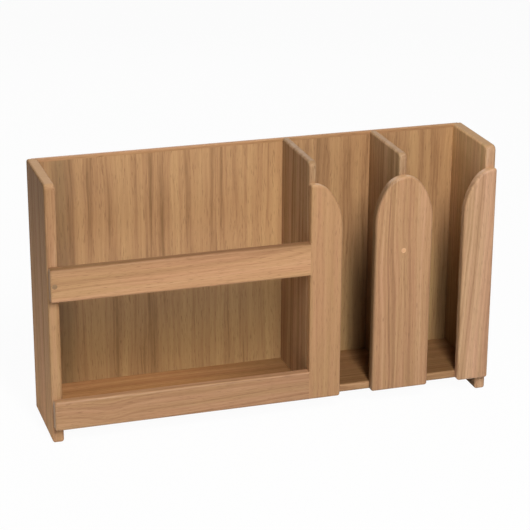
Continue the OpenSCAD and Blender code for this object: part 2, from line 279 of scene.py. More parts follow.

# For each board: the axis its grain runs along and the axis across its face, a
# seed that moves its pattern, a tint over the common colours, its tone at the
# low and the high end of its grain axis, its sheen, the strength of its figure,
# where the heart of its tree lay from the board's middle (mm across, mm deep,
# then mm across and mm deep for each mm along) and the tone of its end grain.
# The tones along the left side, the right side, the right divider and the shelf
# are painted light and shade, and the end tones of the dividers and the rails
# are partly painted shade.
BOARDS = {
    # Painted light: the left side is lighter low down, where the floor lights its outer face
    "left_side": ("Z", "Y", 3, (0.88, 0.84, 0.77), (1.5, 0.71), 0.03, 1.5, (260, 60, 0.0, 0.0), 0.82),
    # Painted shade and light: the right side is darker low down inside the bays and lighter at the top
    "right_side": ("Z", "Y", 11, (1.12, 1.22, 1.24), (0.45, 1.35), 0.03, 1.0, (-240, 90, 0.0, 0.0), 0.66),
    "left_divider": ("Z", "Y", 5, (0.86, 0.92, 0.97), (1.0, 1.0), 0.08, 1.4, (220, -70, 0.0, 0.0), 0.48),
    # Painted shade and light: the right divider is darker low down and lighter at the top
    "right_divider": ("Z", "Y", 17, (0.86, 0.92, 0.96), (0.5, 1.28), 0.08, 1.3, (-260, 80, 0.0, 0.0), 0.54),
    # Painted shade: the shelf is darker towards the narrow bays
    "bottom_shelf": ("X", "Y", 23, (0.66, 0.59, 0.49), (1.36, 0.72), 0.1, 1.2, (120, 60, 0.0, 0.0), 1.0),
    "back_lipping": ("X", "Z", 29, (0.96, 0.91, 0.88), (1.0, 1.0), 0.2, 0.6, (40, 90, 0.0, 0.0), 1.0),
    "lower_rail": ("X", "Z", 61, (0.86, 0.84, 0.87), (1.07, 0.93), 0.3, 1.1, (90, 70, 0.02, 0.0), 0.52),
    "upper_rail": ("X", "Z", 13, (1.05, 1.05, 1.10), (0.98, 1.03), 0.12, 0.85, (60, 110, 0.06, 0.0), 0.5),
    "left_slat": ("Z", "X", 64, (0.91, 0.89, 0.86), (0.94, 1.06), 0.35, 0.45, (160, 90, 0.0, 0.0), 0.9),
    "centre_slat": ("Z", "X", 1, (0.90, 0.88, 0.89), (0.94, 1.06), 0.35, 1.0, (-110, 120, 0.0, 0.0), 0.9),
    "right_slat": ("Z", "X", 53, (1.05, 1.09, 1.24), (1.0, 1.0), 0.35, 0.9, (90, 60, 0.06, 0.0), 0.9),
}

# The plugs, as a row of BOARDS. They are cut across the grain and paler, and
# the one in the rail is darker than the one in the slat.
PLUGS = ("X", "Z", 61, (1.3, 1.35, 1.4), (0.42, 1.0), 0.2, 1.0, (30, 80, 0.0, 0.0), 1.0)

# Faces with a tint of their own in place of their board's tint and drift: the
# way they face, their tint and how far in mm it reaches over the next face,
# half as strong. The front edges and the right side's outer face have tints
# clear of the light and shade painted into their boards' drifts, and the tints
# of the upper rail's top and of the slats' left flanks are painted shade.
FACES = {
    "left_side": [(FRONT, (0.90, 0.90, 0.93), 0)],
    "right_side": [(FRONT, (1.09, 1.17, 1.42), 0), (RIGHT, (0.96, 0.98, 1.00), 0)],
    "left_divider": [(FRONT, (0.78, 0.83, 0.87), 0)],
    "right_divider": [(FRONT, (0.88, 0.92, 1.08), 0)],
    "bottom_shelf": [(FRONT, (0.87, 0.90, 0.92), 0)],
    # Painted shade on the rail's top and the top of its front face
    "upper_rail": [(TOP, (0.62, 0.58, 0.55), 11)],
    # Painted shade on the slat's left flank
    "centre_slat": [(LEFT, (0.50, 0.48, 0.46), 0)],
    # Slight painted shade on the slat's left flank
    "right_slat": [(LEFT, (1.00, 1.02, 1.12), 0)],
}

# Where along a board its tone changes, in mm from its middle, for a board
# whose tone doesn't drift evenly from end to end. The shelf's change is painted
# shade: darker towards the narrow bays, where the divider and slats shade it.
TONE_CHANGES = {"bottom_shelf": (-140, 60)}

# Where the grain dips round a knot that was cut away: mm along from the
# board's middle, its reach along and the depth of the dip.
KNOTS = {"lower_rail": (-90, 28, 7)}

# How far one step of a seed moves a pattern, in metres.
SEED_STEP = 0.37
VENEER_SEED_STEP = 3.7

# Bends of the grain for each metre along it, across it and through the board.
# One is about 300 mm long and 45 mm wide in the teak, and 140 mm long and 33 mm
# wide in the veneer.
BENDS = (3.2, 22.0, 22.0)
VENEER_BENDS = (7.0, 30.0, 0.0)

# Shares of the rings and the fibres in the figure of the teak, and of the
# streaks, the lines and the fibres in the figure of the veneer.
RING_SHARE, FIBRE_SHARE = 0.5, 0.3
STREAK_SHARE, LINE_SHARE, VENEER_FIBRE_SHARE = 0.6, 0.27, 0.14

# Values of the figure that are all streak, all honey and all pale.
TONE_STOPS = (0.30, 0.50, 0.70)
VENEER_STOPS = (0.36, 0.475, 0.61)

# In a patch that leans to rose or to olive, green goes the other way from red
# and blue goes with it, each by this share of what red does.
GREEN_LEAN, BLUE_LEAN = 0.6, 1.4

# The cosine of the angle to a face's own way at which its tint begins and is
# full, so that it fades out over the round edge, and the share of it that
# reaches over the next face.
TINT_BEGINS, TINT_FULL, TINT_OVER = 0.1, 0.8, 0.5

# The cosine at which the tone of the end grain begins, and how much of the
# board's own tone it hides where it is full.
END_BEGINS, END_SHARE = 0.55, 0.8

# How much smoother a board is for its sheen, how much rougher its streaks are
# and how much smoother its pale wood.
SHEEN_SMOOTHS, STREAK_ROUGHER, PALE_SMOOTHER = 0.25, 0.06, 0.05

# The broad dark band beside the left side, partly a streak of the veneer and
# partly painted shadow of the left side: how far left of the middle of the back
# it runs up, and half its width.
EDGE_STREAK_AND_SHADOW_PLACE, EDGE_STREAK_AND_SHADOW_HALF = 232 * MM, 22 * MM

# Heights above the floor below which the painted shade on the lower part of
# the veneer is full, and above which it is gone.
PAINTED_SHADE_FULL_BELOW, PAINTED_SHADE_GONE_ABOVE = 0.10, 0.20

WOOD_IOR = 1.5


def new_material(name):
    """A material without nodes, and its tree."""
    material = bpy.data.materials.new(name)
    material.use_nodes = True
    material.node_tree.nodes.clear()
    return material, material.node_tree


def board_space(tree, grain_axis, face_axis, node_name):
    """Coordinates from a board's middle, X along the grain, Y across the face
    and Z through it, and a mask of the board's two ends."""
    low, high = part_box(node_name)
    middle = (low + high) / 2
    place = add_node(tree, "ShaderNodeTexCoord")
    from_middle = add_node(
        tree, "ShaderNodeVectorMath", {0: place.outputs["Object"], 1: middle}, operation="SUBTRACT"
    )
    parts = add_node(tree, "ShaderNodeSeparateXYZ", {0: from_middle.outputs[0]})
    depth_axis = ({"X", "Y", "Z"} - {grain_axis, face_axis}).pop()
    turned = add_node(
        tree,
        "ShaderNodeCombineXYZ",
        {0: parts.outputs[grain_axis], 1: parts.outputs[face_axis], 2: parts.outputs[depth_axis]},
    )
    normal = add_node(tree, "ShaderNodeSeparateXYZ", {0: place.outputs["Normal"]})
    ends = add_node(tree, "ShaderNodeMath", {0: normal.outputs[grain_axis]}, operation="ABSOLUTE")
    return turned.outputs[0], ends.outputs[0]


def grain_noise(tree, space, long_mm, wide_mm, detail):
    """Noise drawn out along the grain, from the length and the width of one patch."""
    per_metre = (1 / (long_mm * MM), 1 / (wide_mm * MM), 1 / (wide_mm * MM))
    drawn = add_node(tree, "ShaderNodeVectorMath", {0: space, 1: per_metre}, operation="MULTIPLY")
    noise = add_node(tree, "ShaderNodeTexNoise", {"Vector": drawn.outputs[0], "Scale": 1, "Detail": detail})
    return noise.outputs["Fac"]


def bend_of(tree, space, bends, wander):
    """How far the grain is from straight, up to the wander to either side."""
    slow = add_node(tree, "ShaderNodeVectorMath", {0: space, 1: bends}, operation="MULTIPLY")
    noise = add_node(tree, "ShaderNodeTexNoise", {"Vector": slow.outputs[0], "Scale": 1, "Detail": 2.0})
    bend = add_node(
        tree, "ShaderNodeMapRange", {"Value": noise.outputs["Fac"], "To Min": -wander, "To Max": wander}
    )
    return bend.outputs[0]


def pores_of(tree, space, colour, look):
    """The colour with the pores of teak in it, and their mask: dark dashes up to
    15 mm long and 0.3 mm wide, drawn 0.8 mm wide to show."""
    dashes = grain_noise(tree, space, long_mm=12, wide_mm=0.8, detail=1.0)
    mask = add_node(
        tree, "ShaderNodeMapRange", {"Value": dashes, "From Min": 0.60, "From Max": 0.72, "To Max": 0.45}
    ).outputs[0]
    pored = add_node(
        tree, "ShaderNodeMix", {"Factor": mask, "A": colour, "B": (*look.pore, 1)}, data_type="RGBA"
    )
    return pored.outputs["Result"], mask


def rings_of(tree, node_name, space, along, bend, heart, seed):
    """How far out from the heart of its tree each point of a board lies, with
    the bends of its grain and the dip round its knot."""
    across, deep, slant, tilt = heart
    aside = add_node(tree, "ShaderNodeMath", {0: along, 1: slant}, operation="MULTIPLY").outputs[0]
    inward = add_node(tree, "ShaderNodeMath", {0: along, 1: tilt}, operation="MULTIPLY").outputs[0]
    if node_name in KNOTS:
        place_mm, reach_mm, dip_mm = KNOTS[node_name]
        away = add_node(tree, "ShaderNodeMath", {0: along, 1: place_mm * MM}, operation="SUBTRACT")
        ratio = add_node(
            tree, "ShaderNodeMath", {0: away.outputs[0], 1: reach_mm * MM}, operation="DIVIDE"
        ).outputs[0]
        # The dip fades as one over one plus the square of the ratio
        fade = add_node(tree, "ShaderNodeMath", {0: ratio, 1: ratio, 2: 1.0}, operation="MULTIPLY_ADD")
        dip = add_node(tree, "ShaderNodeMath", {0: -dip_mm * MM, 1: fade.outputs[0]}, operation="DIVIDE")
        aside = add_node(tree, "ShaderNodeMath", {0: aside, 1: dip.outputs[0]}, operation="ADD").outputs[0]
    lean = add_node(tree, "ShaderNodeCombineXYZ", {"Y": aside, "Z": inward})
    heart_place = add_node(
        tree,
        "ShaderNodeVectorMath",
        {0: lean.outputs[0], 1: (0.0, across * MM, deep * MM)},
        operation="ADD",
    )
    from_heart = add_node(
        tree, "ShaderNodeVectorMath", {0: space, 1: heart_place.outputs[0]}, operation="SUBTRACT"
    )
    flat = add_node(
        tree, "ShaderNodeVectorMath", {0: from_heart.outputs[0], 1: (0.0, 1.0, 1.0)}, operation="MULTIPLY"
    )
    radius = add_node(tree, "ShaderNodeVectorMath", {0: flat.outputs[0]}, operation="LENGTH")
    bent = add_node(tree, "ShaderNodeMath", {0: radius.outputs["Value"], 1: bend}, operation="ADD")
    moved = add_node(tree, "ShaderNodeMath", {0: bent.outputs[0], 1: seed * SEED_STEP}, operation="ADD")
    return moved.outputs[0]


def drift_of(tree, node_name, grain_axis, along, tones):
    """Tone along a board, from its low end to its high end or where TONE_CHANGES says."""
    low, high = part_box(node_name)
    half = (high - low)["XYZ".index(grain_axis)] / 2
    first, last, ease = -half, half, "LINEAR"
    if node_name in TONE_CHANGES:
        first, last = (mm * MM for mm in TONE_CHANGES[node_name])
        ease = "SMOOTHSTEP"
    drift = add_node(
        tree,
        "ShaderNodeMapRange",
        {"Value": along, "From Min": first, "From Max": last, "To Min": tones[0], "To Max": tones[1]},
        interpolation_type=ease,
    )
    return drift.outputs[0]


def tint_faces(tree, node_name, face_axis, space, colour, pored):
    """The colour of a board, with the tints of FACES laid over it."""
    low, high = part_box(node_name)
    half_width = (high - low)["XYZ".index(face_axis)] / 2
    for way, face_tint, reach_mm in FACES.get(node_name, ()):
        own = add_node(tree, "ShaderNodeVectorMath", {0: pored, 1: face_tint}, operation="MULTIPLY")
        outward = add_node(tree, "ShaderNodeTexCoord").outputs["Normal"]
        faces_it = add_node(tree, "ShaderNodeVectorMath", {0: outward, 1: way}, operation="DOT_PRODUCT")
        part = add_node(
            tree,
            "ShaderNodeMapRange",
            {"Value": faces_it.outputs["Value"], "From Min": TINT_BEGINS, "From Max": TINT_FULL},
        ).outputs[0]
        if reach_mm:
            off_middle = add_node(tree, "ShaderNodeSeparateXYZ", {0: space}).outputs["Y"]
            near_edge = add_node(
                tree,
                "ShaderNodeMapRange",
                {
                    "Value": off_middle,
                    "From Min": half_width - reach_mm * MM,
                    "From Max": half_width,
                    "To Max": TINT_OVER,
                },
                interpolation_type="SMOOTHSTEP",
            )
            part = add_node(
                tree, "ShaderNodeMath", {0: part, 1: near_edge.outputs[0]}, operation="MAXIMUM"
            ).outputs[0]
        colour = add_node(
            tree, "ShaderNodeMix", {"Factor": part, "A": colour, "B": own.outputs[0]}, data_type="RGBA"
        ).outputs["Result"]
    return colour


def teak(node_name, look, grain_axis, face_axis, seed, tint, tones, sheen, contrast, heart, end_tone):
    """Solid teak, planed, sanded and oiled. Straight to wild grain in honey and
    brown, with long open pores and a soft sheen. Rings are nested tubes round
    the heart, so each face and end shows its own cut through them."""
    material, tree = new_material("oiled_teak_" + node_name)
    space, ends = board_space(tree, grain_axis, face_axis, node_name)
    along = add_node(tree, "ShaderNodeSeparateXYZ", {0: space}).outputs["X"]
    step = (seed * SEED_STEP, 0.0, 0.0)
    shifted = add_node(tree, "ShaderNodeVectorMath", {0: space, 1: step}, operation="ADD").outputs[0]
    bend = bend_of(tree, shifted, BENDS, look.wander)
    ring = rings_of(tree, node_name, space, along, bend, heart, seed)

    # Broad bands of tone, then rings, then fibres a third of a mm wide that
    # are drawn 0.9 mm wide to show
    bands = add_node(
        tree,
        "ShaderNodeTexNoise",
        {"W": ring, "Scale": 1 / look.band_width, "Detail": 2.0, "Roughness": 0.55},
        noise_dimensions="1D",
    )
    rings = add_node(
        tree,
        "ShaderNodeTexNoise",
        {"W": ring, "Scale": 1 / look.ring_width, "Detail": 1.0},
        noise_dimensions="1D",
    )
    fibres = grain_noise(tree, shifted, long_mm=55, wide_mm=0.9, detail=3.0)
    with_rings = add_node(
        tree, "ShaderNodeMix", {"Factor": RING_SHARE, "A": bands.outputs["Fac"], "B": rings.outputs["Fac"]}
    )
    with_fibres = add_node(
        tree, "ShaderNodeMix", {"Factor": FIBRE_SHARE, "A": with_rings.outputs[0], "B": fibres}
    )
    figure = add_node(
        tree,
        "ShaderNodeMapRange",
        {"Value": with_fibres.outputs[0], "To Min": 0.5 - contrast / 2, "To Max": 0.5 + contrast / 2},
        clamp=False,
    )
    ramp = add_node(tree, "ShaderNodeValToRGB", {"Fac": figure.outputs[0]})
    stops = ramp.color_ramp.elements
    stops[0].position, stops[0].color = TONE_STOPS[0], (*look.streak, 1)
    stops[1].position, stops[1].color = TONE_STOPS[2], (*look.pale, 1)
    stops.new(TONE_STOPS[1]).color = (*look.honey, 1)

    # Patches as wide as a finger, that lean to rose or to olive along the board
    patches = grain_noise(tree, shifted, long_mm=160, wide_mm=11, detail=2.0)
    rosy_part = add_node(tree, "ShaderNodeMapRange", {"Value": patches, "From Min": 0.35, "From Max": 0.65})
    lean = look.hue_shift
    hue = add_node(
        tree,
        "ShaderNodeMix",
        {
            "Factor": rosy_part.outputs[0],
            "A": (1 - lean, 1 + GREEN_LEAN * lean, 1 - BLUE_LEAN * lean, 1),
            "B": (1 + lean, 1 - GREEN_LEAN * lean, 1 + BLUE_LEAN * lean, 1),
        },
        data_type="RGBA",
    )
    hued = add_node(
        tree,
        "ShaderNodeVectorMath",
        {0: ramp.outputs["Color"], 1: hue.outputs["Result"]},
        operation="MULTIPLY",
    )

    pored, pore_mask = pores_of(tree, shifted, hued.outputs[0], look)
    tinted = add_node(tree, "ShaderNodeVectorMath", {0: pored, 1: tint}, operation="MULTIPLY").outputs[0]
    drift = drift_of(tree, node_name, grain_axis, along, tones)
    toned = add_node(tree, "ShaderNodeVectorMath", {0: tinted, "Scale": drift}, operation="SCALE")
    face_colour = tint_faces(tree, node_name, face_axis, space, toned.outputs[0], pored)

    # End grain was sanded finer than the faces, which leaves it even
    # Part of the end tone of the dividers and the rails is painted shade, on the dividers' tops and the
    # rails' left ends
    ends_part = add_node(
        tree,
        "ShaderNodeMapRange",
        {"Value": ends, "From Min": END_BEGINS, "From Max": 1.0, "To Max": END_SHARE},
    )
    shaded = add_node(
        tree,
        "ShaderNodeMix",
        {"Factor": ends_part.outputs[0], "A": face_colour, "B": (*(end_tone * Vector(look.end_grain)), 1)},
        data_type="RGBA",
    )

    relief = add_node(tree, "ShaderNodeMath", {0: fibres, 1: pore_mask}, operation="SUBTRACT")
    bump = add_node(
        tree, "ShaderNodeBump", {"Height": relief.outputs[0], "Strength": 0.25, "Distance": 0.15 * MM}
    )
    roughness = look.roughness - sheen * SHEEN_SMOOTHS
    dullness = add_node(
        tree,
        "ShaderNodeMapRange",
        {
            "Value": figure.outputs[0],
            "From Min": TONE_STOPS[0],
            "From Max": TONE_STOPS[2],
            "To Min": roughness + STREAK_ROUGHER,
            "To Max": roughness - PALE_SMOOTHER,
        },
    )
    surface = add_node(
        tree,
        "ShaderNodeBsdfPrincipled",
        {
            "Base Color": shaded.outputs["Result"],
            "Roughness": dullness.outputs[0],
            "IOR": WOOD_IOR,
            "Specular IOR Level": sheen,
            "Normal": bump.outputs["Normal"],
        },
    )
    add_node(tree, "ShaderNodeOutputMaterial", {"Surface": surface.outputs[0]})
    return material


def plies_of(tree, place, look, wood):
    """Colour of the plies where the edge is bare: all as thick, and every other
    one across the grain."""
    low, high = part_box("back_panel")
    depth = add_node(tree, "ShaderNodeSeparateXYZ", {0: place.outputs["Object"]}).outputs["Y"]
    ply_place = add_node(
        tree,
        "ShaderNodeMapRange",
        {"Value": depth, "From Min": low.y, "From Max": high.y, "To Max": look.plies / 2},
    )
    ply = add_node(tree, "ShaderNodeMath", {0: ply_place.outputs[0]}, operation="FRACT")
    dark_ply = add_node(tree, "ShaderNodeMath", {0: ply.outputs[0], 1: 0.5}, operation="GREATER_THAN")
    colour = add_node(
        tree,
        "ShaderNodeMix",
        {"Factor": dark_ply.outputs[0], "A": (*wood.pale, 1), "B": (*wood.streak, 1)},
        data_type="RGBA",
    )
    return colour.outputs["Result"]


def veneered_plywood(look, wood):
    """Rotary plywood under sliced teak veneer, sanded and oiled. Upright
    streaks that come and go over a hand's length, fine lines between them, and
    plies of two tones where the edge is bare."""
    material, tree = new_material("teak_veneer_plywood")
    sheet, _ = board_space(tree, "Z", "X", "back_panel")
    step = (look.seed * VENEER_SEED_STEP, 0.0, 0.0)
    space = add_node(tree, "ShaderNodeVectorMath", {0: sheet, 1: step}, operation="ADD").outputs[0]
    aside = add_node(tree, "ShaderNodeCombineXYZ", {"Y": bend_of(tree, space, VENEER_BENDS, look.wander)})
    wavy = add_node(
        tree, "ShaderNodeVectorMath", {0: space, 1: aside.outputs[0]}, operation="ADD"
    ).outputs[0]

    # Broad tone, streaks, and lines 3 mm wide, with fibres drawn 0.9 mm wide to show
    broad = grain_noise(tree, wavy, long_mm=420, wide_mm=34, detail=1.0)
    streaks = grain_noise(tree, wavy, long_mm=300, wide_mm=look.stripe_width / MM, detail=1.5)
    lines = grain_noise(tree, wavy, long_mm=140, wide_mm=3.2, detail=1.0)
    fibres = grain_noise(tree, wavy, long_mm=30, wide_mm=0.9, detail=2.0)
    tones = add_node(tree, "ShaderNodeMix", {"Factor": STREAK_SHARE, "A": broad, "B": streaks})
    with_lines = add_node(tree, "ShaderNodeMix", {"Factor": LINE_SHARE, "A": tones.outputs[0], "B": lines})
    figure = add_node(
        tree, "ShaderNodeMix", {"Factor": VENEER_FIBRE_SHARE, "A": with_lines.outputs[0], "B": fibres}
    )
    ramp = add_node(tree, "ShaderNodeValToRGB", {"Fac": figure.outputs[0]})
    stops = ramp.color_ramp.elements
    stops[0].position, stops[0].color = VENEER_STOPS[0], (*look.streak, 1)
    stops[1].position, stops[1].color = VENEER_STOPS[2], (*look.pale, 1)
    stops.new(VENEER_STOPS[1]).color = (*look.honey, 1)

    # One broad dark band runs up beside the left side: partly a streak of the veneer,
    # partly painted shadow of the left side
    sideways = add_node(tree, "ShaderNodeSeparateXYZ", {0: wavy}).outputs["Y"]
    from_it = add_node(tree, "ShaderNodeMath", {0: sideways, 1: EDGE_STREAK_AND_SHADOW_PLACE}, operation="ADD")
    distance = add_node(tree, "ShaderNodeMath", {0: from_it.outputs[0]}, operation="ABSOLUTE")
    clear = add_node(
        tree,
        "ShaderNodeMapRange",
        {
            "Value": distance.outputs[0],
            "From Max": EDGE_STREAK_AND_SHADOW_HALF,
            "To Min": look.edge_streak_and_shadow,
            "To Max": 1.0,
        },
        interpolation_type="SMOOTHSTEP",
    )

    # Painted shade: the back is darker low down, in place of the shade under the upper rail
    place = add_node(tree, "ShaderNodeTexCoord")
    height = add_node(tree, "ShaderNodeSeparateXYZ", {0: place.outputs["Object"]}).outputs["Z"]
    rise = add_node(
        tree,
        "ShaderNodeMapRange",
        {"Value": height, "From Min": PAINTED_SHADE_FULL_BELOW, "From Max": PAINTED_SHADE_GONE_ABOVE},
        interpolation_type="SMOOTHSTEP",
    )
    lower_shade_tint = add_node(
        tree,
        "ShaderNodeMix",
        {"Factor": rise.outputs[0], "A": (*look.lower_painted_shade, 1), "B": (1, 1, 1, 1)},
        data_type="RGBA",
    )
    pored, _ = pores_of(tree, wavy, ramp.outputs["Color"], wood)
    # The dark band beside the left side, partly painted shadow, darkens the colour
    streaked_and_shaded = add_node(
        tree, "ShaderNodeVectorMath", {0: pored, "Scale": clear.outputs[0]}, operation="SCALE"
    )
    shaded_below = add_node(
        tree,
        "ShaderNodeVectorMath",
        {0: streaked_and_shaded.outputs[0], 1: lower_shade_tint.outputs["Result"]},
        operation="MULTIPLY",
    )

    # Whatever doesn't face the front or the rear is bare edge
    facing = add_node(tree, "ShaderNodeSeparateXYZ", {0: place.outputs["Normal"]})
    flatness = add_node(tree, "ShaderNodeMath", {0: facing.outputs["Y"]}, operation="ABSOLUTE")
    edge_mask = add_node(tree, "ShaderNodeMath", {0: flatness.outputs[0], 1: 0.5}, operation="LESS_THAN")
    both = add_node(
        tree,
        "ShaderNodeMix",
        {"Factor": edge_mask.outputs[0], "A": shaded_below.outputs[0], "B": plies_of(tree, place, look, wood)},
        data_type="RGBA",
    )
    bump = add_node(tree, "ShaderNodeBump", {"Height": fibres, "Strength": 0.2, "Distance": 0.12 * MM})
    surface = add_node(
        tree,
        "ShaderNodeBsdfPrincipled",
        {
            "Base Color": both.outputs["Result"],
            "Roughness": 0.42,
            "IOR": WOOD_IOR,
            "Specular IOR Level": 0.3,
            "Normal": bump.outputs["Normal"],
        },
    )
    add_node(tree, "ShaderNodeOutputMaterial", {"Surface": surface.outputs[0]})
    return material


def brass(look):
    """Turned brass, handled but not polished: a warm yellow metal with fine
    marks and a dulled sheen."""
    material, tree = new_material("turned_brass")
    place = add_node(tree, "ShaderNodeTexCoord")
    mark_width, dulled_tone = 0.6 * MM, 0.8
    marks = add_node(
        tree,
        "ShaderNodeTexNoise",
        {"Vector": place.outputs["Object"], "Scale": 1 / mark_width, "Detail": 2.0},
    ).outputs["Fac"]
    dullness = add_node(tree, "ShaderNodeMapRange", {"Value": marks, "To Min": 0.28, "To Max": 0.44})
    dulled = [channel * dulled_tone for channel in look.brass]
    tone = add_node(
        tree,
        "ShaderNodeMix",
        {"Factor": marks, "A": (*look.brass, 1), "B": (*dulled, 1)},
        data_type="RGBA",
    )
    surface = add_node(
        tree,
        "ShaderNodeBsdfPrincipled",
        {"Base Color": tone.outputs["Result"], "Metallic": 1.0, "Roughness": dullness.outputs[0]},
    )
    add_node(tree, "ShaderNodeOutputMaterial", {"Surface": surface.outputs[0]})
    return material


def beech():
    """Plain turned beech, unfinished: pale, with short dark flecks."""
    material, tree = new_material("plain_beech")
    place = add_node(tree, "ShaderNodeTexCoord")
    fleck_width, fleck_length = 1 * MM, 3 * MM
    stretched = add_node(
        tree,
        "ShaderNodeVectorMath",
        {0: place.outputs["Object"], 1: (1 / fleck_width, 1 / fleck_length, 1 / fleck_width)},
        operation="MULTIPLY",
    ).outputs[0]
    flecks = add_node(tree, "ShaderNodeTexNoise", {"Vector": stretched, "Scale": 1.0, "Detail": 2.0})
    ramp = add_node(tree, "ShaderNodeValToRGB", {"Fac": flecks.outputs["Fac"]})
    stops = ramp.color_ramp.elements
    stops[0].position, stops[0].color = 0.35, (*linear("#b98f63"), 1)
    stops[1].position, stops[1].color = 0.60, (*linear("#d9b98e"), 1)
    surface = add_node(
        tree,
        "ShaderNodeBsdfPrincipled",
        {"Base Color": ramp.outputs["Color"], "Roughness": 0.65, "IOR": WOOD_IOR},
    )
    add_node(tree, "ShaderNodeOutputMaterial", {"Surface": surface.outputs[0]})
    return material


def finish(node_name, material):
    """Gives a CAD node its material."""
    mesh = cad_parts[node_name].data
    mesh.materials.clear()
    mesh.materials.append(material)


# ---- pieces -----------------------------------------------------------------

SCREW_HEAD_HEIGHT, SHANK_RADIUS = 1.5 * MM, 1.25 * MM

# Length of a screw's point in radii of its shank.
POINT_PER_RADIUS = 2.4

# Sides of a screw's cones, and the seed of how its cross lies.
SCREW_SIDES, SCREW_SEED = 32, 7

# Corners of the mesh closer than the first are one corner, those nearer to the
# outer face than the second lie on it, and those on one head are nearer to
# each other than the third.
WELD, ON_FACE, HEAD_REACH = 0.001 * MM, 0.01 * MM, 8 * MM


class RACK_OT_boards(bpy.types.Operator):
    """Finish the sides, dividers, shelf, rails, slats and lipping in teak"""

    bl_idname = "rack.boards"
    bl_label = "Boards"

    def execute(self, context):
        for board, choice in BOARDS.items():
            finish(board, teak(board, context.scene.rack_teak, *choice))
        return {"FINISHED"}


class RACK_OT_back(bpy.types.Operator):
    """Finish the back in veneered plywood"""

    bl_idname = "rack.back"
    bl_label = "Back"

    def execute(self, context):
        finish("back_panel", veneered_plywood(context.scene.rack_veneer, context.scene.rack_teak))
        return {"FINISHED"}


class RACK_OT_fixings(bpy.types.Operator):
    """Finish the plugs, dowels and hidden screws"""

    bl_idname = "rack.fixings"
    bl_label = "Fixings"

    def execute(self, context):
        plug = teak("front_plugs", context.scene.rack_teak, *PLUGS)
        dowel = beech()
        metal = brass(context.scene.rack_screws)
        for name in ("front_plugs", "divider_plugs"):
            finish(name, plug)
        for name in ("front_dowels", "rail_dowels", "shelf_dowels"):
            finish(name, dowel)
        for name in ("front_screws", "divider_screws"):
            finish(name, metal)
        return {"FINISHED"}


def head_middles(node_name):
    """Middles of the outer faces of the screws in a CAD node, and the radius of
    their heads and their length."""
    low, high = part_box(node_name)
    mesh = bmesh.new()
    mesh.from_mesh(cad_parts[node_name].data)
    bmesh.ops.remove_doubles(mesh, verts=mesh.verts, dist=WELD)
    rims = [corner.co.copy() for corner in mesh.verts if high.y - corner.co.y < ON_FACE]
    mesh.free()
    heads = []
    for point in rims:
        for head in heads:
            if (head[0] - point).length < HEAD_REACH:
                head.append(point)
                break
        else:
            heads.append([point])
    middles = []
    for head in heads:
        xs, zs = [point.x for point in head], [point.z for point in head]
        middles.append(Vector(((min(xs) + max(xs)) / 2, high.y, (min(zs) + max(zs)) / 2)))
    head_radius = (max(point.x for point in heads[0]) - min(point.x for point in heads[0])) / 2
    return middles, head_radius, high.y - low.y


